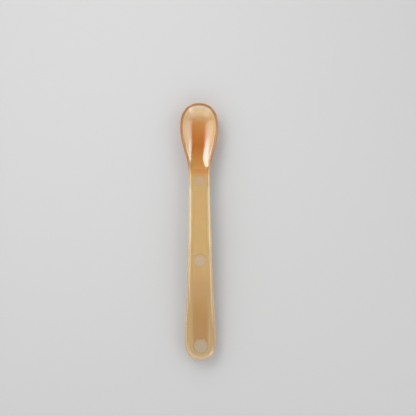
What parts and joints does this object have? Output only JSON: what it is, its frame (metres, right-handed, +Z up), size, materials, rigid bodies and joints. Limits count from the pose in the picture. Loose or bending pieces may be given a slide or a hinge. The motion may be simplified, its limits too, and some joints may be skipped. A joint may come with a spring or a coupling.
{
  "type": "baby spoon",
  "caption": "Soft baby spoon: a translucent amber skin forms the small bowl and wraps a hard pale core in the handle.",
  "frame": {"origin": "bottom centre of the whole spoon's box, on the surface that it lies on", "axes": "+Y along the spoon towards the tip of the bowl, +Z up out of the bowl, +X to the right seen from above"},
  "size_m": [0.0216, 0.145, 0.0091],
  "materials": {
    "soft_skin": "glossy translucent amber elastomer",
    "handle_core": "satin, slightly milky uncoloured plastic"
  },
  "bodies": {
    "root": {"soft_skin": "soft_skin", "handle_core": "handle_core"}
  },
  "joints": []
}
